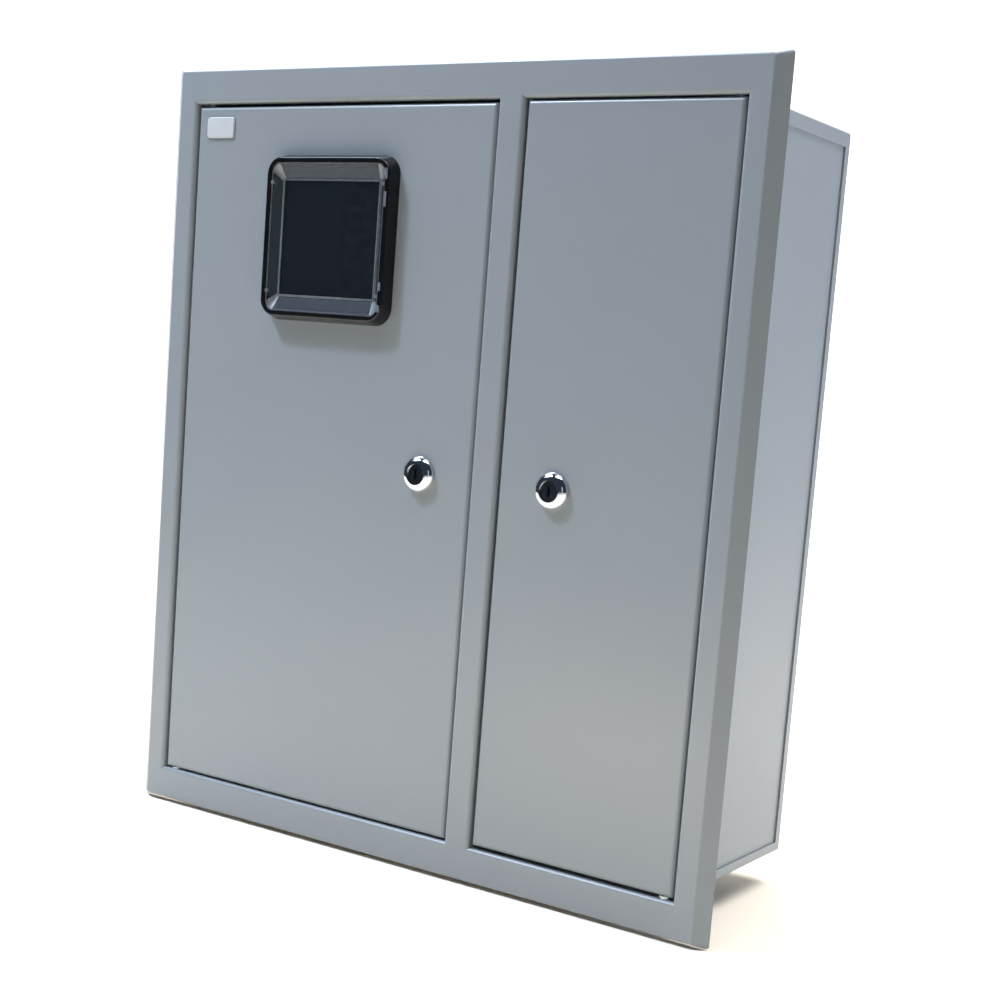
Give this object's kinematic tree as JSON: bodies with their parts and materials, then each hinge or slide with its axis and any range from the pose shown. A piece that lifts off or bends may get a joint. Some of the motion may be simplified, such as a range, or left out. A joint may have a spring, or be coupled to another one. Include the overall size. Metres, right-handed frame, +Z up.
{
  "type": "electric meter box",
  "caption": "Flush sheet-steel meter enclosure: front frame, wide meter door with a clear window, narrow breaker door, cam locks, mounting plate, rails and terminal bars.",
  "frame": {"origin": "centre of the back's outer face, between the four wall fixing holes", "axes": "+Y out of the back into the wall, so the doors face -Y; +Z up; +X to the right seen from the front"},
  "size_m": [0.4706, 0.1772, 0.5256],
  "materials": {
    "coated_steel": "light grey powder coat, fine and even",
    "galvanised_steel": "galvanised sheet",
    "zinc_plated_steel": "bright zinc plate",
    "lock_chrome": "polished",
    "lock_barrel": "turned, satin",
    "black_moulding": "moulded, slight gloss",
    "clear_moulding": "clear moulded cover, slightly smoky",
    "badge": "domed resin plate, bare",
    "brass": "drawn bar",
    "insulator": "moulded",
    "buffer_rubber": "soft pad"
  },
  "bodies": {
    "enclosure": {"front_frame": "coated_steel", "case_wrap": "coated_steel", "side_panel_left": "coated_steel", "side_panel_right": "coated_steel", "partition": "coated_steel", "breaker_cover": "coated_steel", "meter_rail_upper": "galvanised_steel", "meter_rail_lower": "galvanised_steel", "meter_plate": "galvanised_steel", "upright_left": "galvanised_steel", "upright_right": "galvanised_steel", "mounting_rail_upper": "galvanised_steel", "mounting_rail_middle": "galvanised_steel", "mounting_rail_lower": "galvanised_steel", "cover_brackets": "galvanised_steel", "meter_hinge_brackets": "galvanised_steel", "breaker_hinge_brackets": "galvanised_steel", "earth_bar_spacers": "galvanised_steel", "frame_screws": "zinc_plated_steel", "meter_hinge_pins": "zinc_plated_steel", "breaker_hinge_pins": "zinc_plated_steel", "hinge_washers": "zinc_plated_steel", "meter_plate_screws": "zinc_plated_steel", "rail_screws": "zinc_plated_steel", "neutral_bar_screws": "zinc_plated_steel", "earth_bar_screws": "zinc_plated_steel", "cover_screws": "zinc_plated_steel", "earth_stud": "zinc_plated_steel", "earth_stud_nut": "zinc_plated_steel", "neutral_bar": "brass", "earth_bar": "brass", "neutral_insulators": "insulator", "door_buffers": "buffer_rubber"},
    "meter_door": {"meter_door": "coated_steel", "meter_door_lugs": "coated_steel", "meter_door_stud": "zinc_plated_steel", "meter_door_stud_nut": "zinc_plated_steel", "window_bezel": "black_moulding", "window_pane": "clear_moulding", "window_retainer": "black_moulding", "window_screws": "zinc_plated_steel", "badge_plate": "badge", "meter_lock_housing": "lock_chrome", "meter_lock_nut": "zinc_plated_steel"},
    "meter_lock": {"meter_lock_plug": "lock_barrel", "meter_lock_cam": "zinc_plated_steel", "meter_lock_bolt": "zinc_plated_steel"},
    "breaker_door": {"breaker_door": "coated_steel", "breaker_door_lugs": "coated_steel", "breaker_door_stud": "zinc_plated_steel", "breaker_door_stud_nut": "zinc_plated_steel", "breaker_lock_housing": "lock_chrome", "breaker_lock_nut": "zinc_plated_steel"},
    "breaker_lock": {"breaker_lock_plug": "lock_barrel", "breaker_lock_cam": "zinc_plated_steel", "breaker_lock_bolt": "zinc_plated_steel"}
  },
  "joints": [
    {"name": "meter_door_hinge", "type": "hinge", "parent": "enclosure", "child": "meter_door", "pos_m": [-0.2032, -0.1627, 0], "axis": [0, 0, -1], "range_deg": [0, 100]},
    {"name": "breaker_door_hinge", "type": "hinge", "parent": "enclosure", "child": "breaker_door", "pos_m": [0.2032, -0.1627, 0], "axis": [0, 0, 1], "range_deg": [0, 110]},
    {"name": "meter_lock_turn", "type": "hinge", "parent": "meter_door", "child": "meter_lock", "pos_m": [0.0007, -0.1682, 0], "axis": [0, -1, 0], "range_deg": [0, 90]},
    {"name": "breaker_lock_turn", "type": "hinge", "parent": "breaker_door", "child": "breaker_lock", "pos_m": [0.1028, -0.1682, 0], "axis": [0, 1, 0], "range_deg": [0, 90]}
  ]
}
